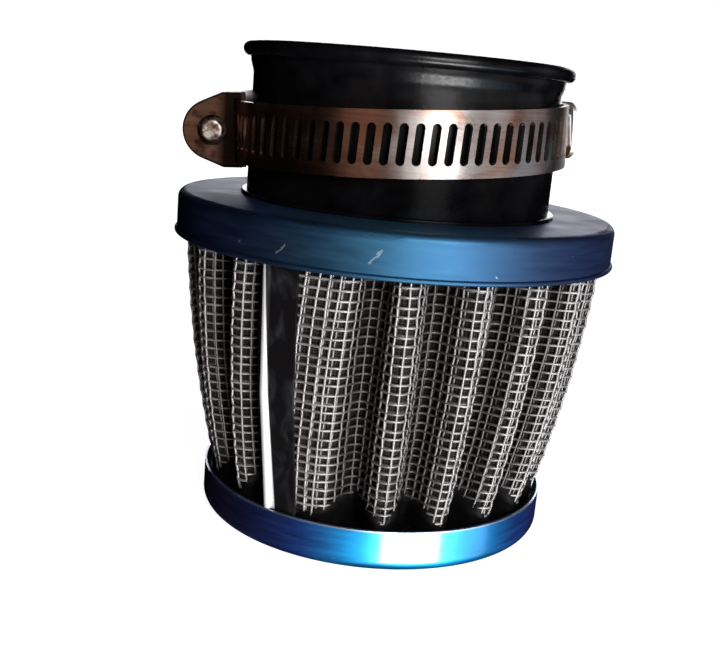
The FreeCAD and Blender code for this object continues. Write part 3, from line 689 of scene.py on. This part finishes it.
def band_start_steel():
    s = band_steel("band_start_steel", 0.4, BAND_WARM_REFLECTION_X, BAND_PLAIN_X)
    add_shade_and_grime(s, BAND_START_UNSHADED_X, BAND_START_SHADE_X, 0, 0.97)
    return s.material


def from_screw_axis(s):
    """Distance in millimetres from the clamp screw's axis."""
    joint = next(joint for joint in frame["joints"] if joint["name"] == "screw_turn")
    place = s.tree.nodes.new("ShaderNodeVectorMath")
    place.operation = "SUBTRACT"
    s.link(s.coords((1, 1, 1)), place.inputs[0])
    place.inputs[1].default_value = Vector(joint["pos_m"]) / MM
    off_axis = s.tree.nodes.new("ShaderNodeVectorMath")
    off_axis.operation = "CROSS_PRODUCT"
    s.link(place.outputs["Vector"], off_axis.inputs[0])
    off_axis.inputs[1].default_value = Vector(joint["axis"]).normalized()
    length = s.tree.nodes.new("ShaderNodeVectorMath")
    length.operation = "LENGTH"
    s.link(off_axis.outputs["Vector"], length.inputs[0])
    return length.outputs["Value"]


def screw_steel():
    """Plated screw with mottled, worn plating, and painted shade, near black, round the middle of its
    tip.
    """
    s = Shader("screw_steel", metallic=1.0)
    wear = s.noise(s.coords((1, 1, 1)), 1.3, 4, 0.8)
    plate = s.ramp(wear, [(0.38, (0.16, 0.10, 0.07, 1)), (0.5, (0.62, 0.46, 0.36, 1)),
                          (0.62, (0.95, 0.86, 0.78, 1))])
    # painted shade: near black round the tip, where it sits in the housing's hole
    shade_and_grime = s.rescale(from_screw_axis(s), SCREW_BRIGHT_R, SCREW_SHADE_R, 0, 0.95)
    s.connect("Base Color", s.mix(shade_and_grime, plate, (0.02, 0.012, 0.010, 1)))
    s.connect("Roughness", s.rescale(wear, 0.3, 0.7, 0.35, 0.6))
    s.bump(wear, 0.2, 0.15)
    return s.material


def dress_cad_nodes():
    """Better materials on the CAD nodes that stay as they are."""
    looks = {
        "upper_cap": upper_cap_blue(),
        "lower_cap": lower_cap_blue(),
        "rubber_neck": rubber(),
        "seam_clip": clip_metal(),
        "clamp_housing": housing_steel(),
        "clamp_band_start": band_start_steel(),
        "clamp_screw": screw_steel(),
    }
    filler = potting()
    looks["lower_potting"] = filler
    looks["upper_potting"] = filler
    looks["clamp_strip"] = band_steel("strip_steel", 0.26, BAND_WARM_REFLECTION_X, BAND_PLAIN_X).material
    for name, material in looks.items():
        for place in NODES[name].material_slots:
            place.material = material


# --- Stage, lights and camera --------------------------------------------------------------

def backdrop():
    """Pale round floor that curves up into a wall all round the object."""
    hub_r, bend_start, bend_r, top = 1, 500, 300, 900
    bend_steps, sides = 12, 96
    profile = [(hub_r, 0), (bend_start, 0)]
    for step in range(1, bend_steps + 1):
        a = math.radians(90 * step / bend_steps)
        profile.append((bend_start + bend_r * math.sin(a), bend_r * (1 - math.cos(a))))
    profile.append((bend_start + bend_r, top))
    rows = [[(*polar(r, 360 * side / sides), z) for side in range(sides)] for r, z in profile]
    mesh = surface_mesh("floor", np.array(rows))
    floor = bpy.data.objects.new("floor", mesh)
    bpy.context.scene.collection.objects.link(floor)
    paint = Shader("floor_white")
    paint.set("Base Color", grey(0.35))
    paint.set("Roughness", 0.9)
    paint.set("Specular IOR Level", 0.0)
    paint.set("Emission Color", (1, 1, 1, 1))
    paint.set("Emission Strength", 0.94)
    mesh.materials.append(paint.material)
    floor.visible_glossy = False
    floor.visible_diffuse = False
    floor.visible_shadow = False


def soft_light(name, angle, elevation, distance, width, height, radiance, color=(1, 1, 1)):
    """Soft box aimed at the middle of the filter. Angle 0 is in front, and to the right is positive."""
    a, e = math.radians(angle), math.radians(elevation)
    target = (cad_box[0] + cad_box[1]) / 2
    out = Vector((math.sin(a) * math.cos(e), -math.cos(a) * math.cos(e), math.sin(e)))
    data = bpy.data.lights.new(name, "AREA")
    data.shape = "RECTANGLE"
    data.size = width
    data.size_y = height
    data.energy = radiance * math.pi * width * height
    data.color = color
    light = bpy.data.objects.new(name, data)
    light.location = target + out * distance
    light.rotation_mode = "QUATERNION"
    light.rotation_quaternion = (-out).to_track_quat("-Z", "Y")
    light.visible_camera = False
    bpy.context.scene.collection.objects.link(light)


def lights():
    soft_light("key", 25, 6, 0.55, 0.21, 0.24, 3.6)
    soft_light("key_high", 25, 24, 0.55, 0.24, 0.20, 12.0)
    soft_light("table_glow", 30, -30, 0.55, 0.31, 0.15, 25.0)
    soft_light("table_side", 68, -27, 0.55, 0.30, 0.16, 1.5, (0.45, 0.78, 1.0))
    soft_light("warm_left", -26, 4, 0.60, 0.30, 0.40, 0.20, (1.0, 0.70, 0.58))
    soft_light("warm_right", 68, 0, 0.60, 0.26, 0.30, 0.4, (1.0, 0.82, 0.76))
    soft_light("cool_rim", 98, 8, 0.60, 0.30, 0.40, 0.28, (0.90, 0.90, 1.0))
    soft_light("back_wall", 175, 10, 0.60, 0.46, 0.22, 4.0)
    world = bpy.data.worlds.new("studio")
    bpy.context.scene.world = world
    world.use_nodes = True
    world.node_tree.nodes["Background"].inputs["Color"].default_value = (1, 1, 1, 1)
    world.node_tree.nodes["Background"].inputs["Strength"].default_value = 0.08
    world.cycles_visibility.glossy = False


def camera():
    """Close view from the front, a little above the upper cap and slightly rolled."""
    place = Vector((0, -144.12, 59.96)) * MM
    target = Vector((-3.47, 0, 25.13)) * MM
    roll = math.radians(5.06)
    data = bpy.data.cameras.new("camera")
    data.sensor_width = 36
    data.lens = 51.5
    data.clip_start = 0.01
    cam = bpy.data.objects.new("camera", data)
    aim = (target - place).to_track_quat("-Z", "Y").to_matrix()
    cam.matrix_world = Matrix.Translation(place) @ (aim @ Matrix.Rotation(roll, 3, "Z")).to_4x4()
    bpy.context.scene.collection.objects.link(cam)
    bpy.context.scene.camera = cam


def main():
    dress_cad_nodes()
    pitches = (WARP_PITCH, WEFT_PITCH)
    weave("outer_cloth", CLOTH / 2, pitches, sides=6, seed=3,
          material=steel_wire("outer_wire", 0.47, 0.28), replaced=["outer_wire_cloth"])
    weave("backing_cloth", BACKING_INSET, pitches, sides=4, seed=8,
          material=steel_wire("backing_wire", 0.34, 0.1), replaced=["backing_wire_cloth"])
    weave("inner_cloth", 2.5 * CLOTH + GAUZE, (INNER_PITCH, INNER_PITCH), sides=4, seed=12,
          material=steel_wire("inner_wire", 0.9, 0.8), replaced=["inner_wire_cloth"])
    swollen_gauze()
    black_valley_skin()
    backdrop()
    lights()
    camera()
    bpy.context.scene.view_settings.view_transform = "Standard"


main()
